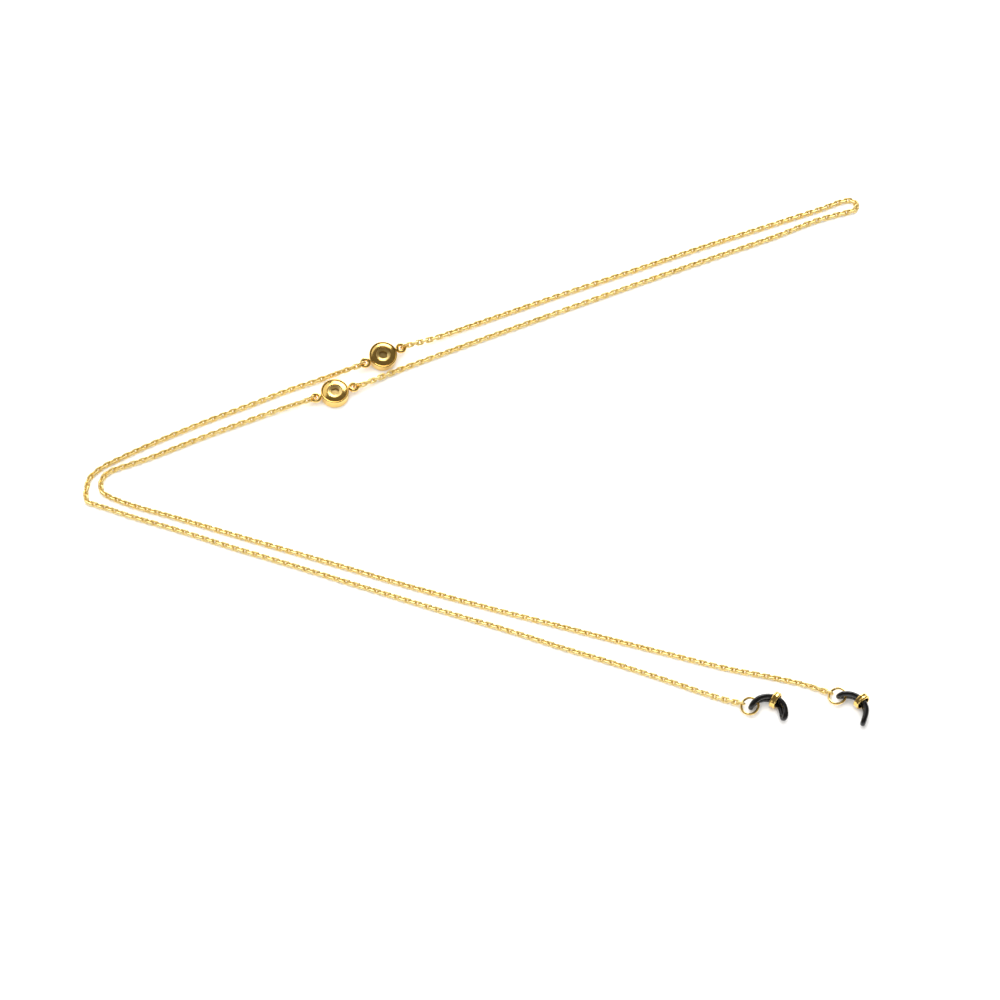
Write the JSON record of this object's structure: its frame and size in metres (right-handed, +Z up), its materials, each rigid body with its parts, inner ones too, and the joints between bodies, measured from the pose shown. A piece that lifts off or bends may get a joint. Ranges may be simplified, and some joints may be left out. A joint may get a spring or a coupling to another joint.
{
  "type": "eyeglasses chain strap",
  "caption": "Fine gilt chain worn round the neck to hold spectacles, with round button stations and a black rubber loop with a slider bead at each free end.",
  "frame": {"origin": "on the surface that the strap lies on, under the middle of the box around the two stations and the two rubber-loop ends; the chain runs aren't counted in that box", "axes": "+Z up from the surface; +X towards the rubber-loop ends, along the longer side of the layout; +Y towards the turn in the middle of the neck run"},
  "size_m": [0.1849, 0.1449, 0.004],
  "materials": {
    "gold_chain": "polished yellow-gold plate on fine drawn-wire links",
    "gold_plate": "polished yellow-gold plate on turned and stamped brass",
    "gold_wire": "polished yellow-gold plate on round wire",
    "black_rubber": "semi-gloss black silicone cord"
  },
  "bodies": {
    "chain": {"chain_run_a": "gold_chain", "chain_run_neck": "gold_chain", "chain_run_b": "gold_chain", "end_a_chain_link": "gold_chain", "rear_station_chain_link_left": "gold_chain", "rear_station_chain_link_right": "gold_chain", "front_station_chain_link_right": "gold_chain", "front_station_chain_link_left": "gold_chain", "end_b_chain_link": "gold_chain"},
    "front_station": {"front_station_cup": "gold_plate", "front_station_dome": "gold_plate", "front_station_rivet": "gold_plate"},
    "front_station_ring_left": {"front_station_ring_left": "gold_wire"},
    "front_station_ring_right": {"front_station_ring_right": "gold_wire"},
    "rear_station": {"rear_station_cup": "gold_plate", "rear_station_dome": "gold_plate", "rear_station_rivet": "gold_plate"},
    "rear_station_ring_left": {"rear_station_ring_left": "gold_wire"},
    "rear_station_ring_right": {"rear_station_ring_right": "gold_wire"},
    "end_a_ring": {"end_a_ring": "gold_wire"},
    "end_a_loop": {"end_a_rubber_loop": "black_rubber"},
    "end_a_bead": {"end_a_slider_bead": "gold_plate"},
    "end_b_ring": {"end_b_ring": "gold_wire"},
    "end_b_loop": {"end_b_rubber_loop": "black_rubber"},
    "end_b_bead": {"end_b_slider_bead": "gold_plate"}
  },
  "joints": [
    {"name": "front_station_turn", "type": "hinge", "parent": "chain", "child": "front_station", "pos_m": [-0.05893, 0.03827, 0.0017], "axis": [0.9489, 0.3156, 0], "range_deg": [-35, 35]},
    {"name": "front_station_ring_left_spin", "type": "hinge", "parent": "chain", "child": "front_station_ring_left", "pos_m": [-0.06434, 0.03647, 0.0017], "axis": [-0.3156, 0.9489, 0], "continuous": true},
    {"name": "front_station_ring_right_spin", "type": "hinge", "parent": "chain", "child": "front_station_ring_right", "pos_m": [-0.05352, 0.04007, 0.0017], "axis": [-0.3156, 0.9489, 0], "continuous": true},
    {"name": "rear_station_turn", "type": "hinge", "parent": "chain", "child": "rear_station", "pos_m": [-0.0476, 0.04823, 0.00216], "axis": [0.8988, 0.4384, 0], "range_deg": [-35, 35]},
    {"name": "rear_station_ring_left_spin", "type": "hinge", "parent": "chain", "child": "rear_station_ring_left", "pos_m": [-0.05272, 0.04573, 0.00216], "axis": [-0.433, 0.8877, 0.1564], "continuous": true},
    {"name": "rear_station_ring_right_spin", "type": "hinge", "parent": "chain", "child": "rear_station_ring_right", "pos_m": [-0.04248, 0.05073, 0.00216], "axis": [-0.433, 0.8877, 0.1564], "continuous": true},
    {"name": "end_a_ring_swing", "type": "hinge", "parent": "chain", "child": "end_a_ring", "pos_m": [0.03597, -0.04504, 0.00125], "axis": [-0.3845, -0.8974, -0.2165], "range_deg": [-75, 75]},
    {"name": "end_a_loop_swing", "type": "hinge", "parent": "end_a_ring", "child": "end_a_loop", "pos_m": [0.03934, -0.04473, 0.002], "axis": [0.5878, -0.809, 0], "range_deg": [-80, 80]},
    {"name": "end_a_bead_slide", "type": "hinge", "parent": "end_a_loop", "child": "end_a_bead", "pos_m": [0.04162, -0.04788, 0.002], "axis": [0, 0, -1], "range_deg": [-22, 34]},
    {"name": "end_b_ring_swing", "type": "hinge", "parent": "chain", "child": "end_b_ring", "pos_m": [0.0564, -0.04218, 0.00109], "axis": [-0.5264, -0.838, -0.1434], "range_deg": [-75, 75]},
    {"name": "end_b_loop_swing", "type": "hinge", "parent": "end_b_ring", "child": "end_b_loop", "pos_m": [0.05996, -0.0432, 0.002], "axis": [0.0349, -0.9994, 0], "range_deg": [-80, 80]},
    {"name": "end_b_bead_slide", "type": "hinge", "parent": "end_b_loop", "child": "end_b_bead", "pos_m": [0.06011, -0.04753, 0.002], "axis": [0, 0, -1], "range_deg": [-12, 40]}
  ]
}
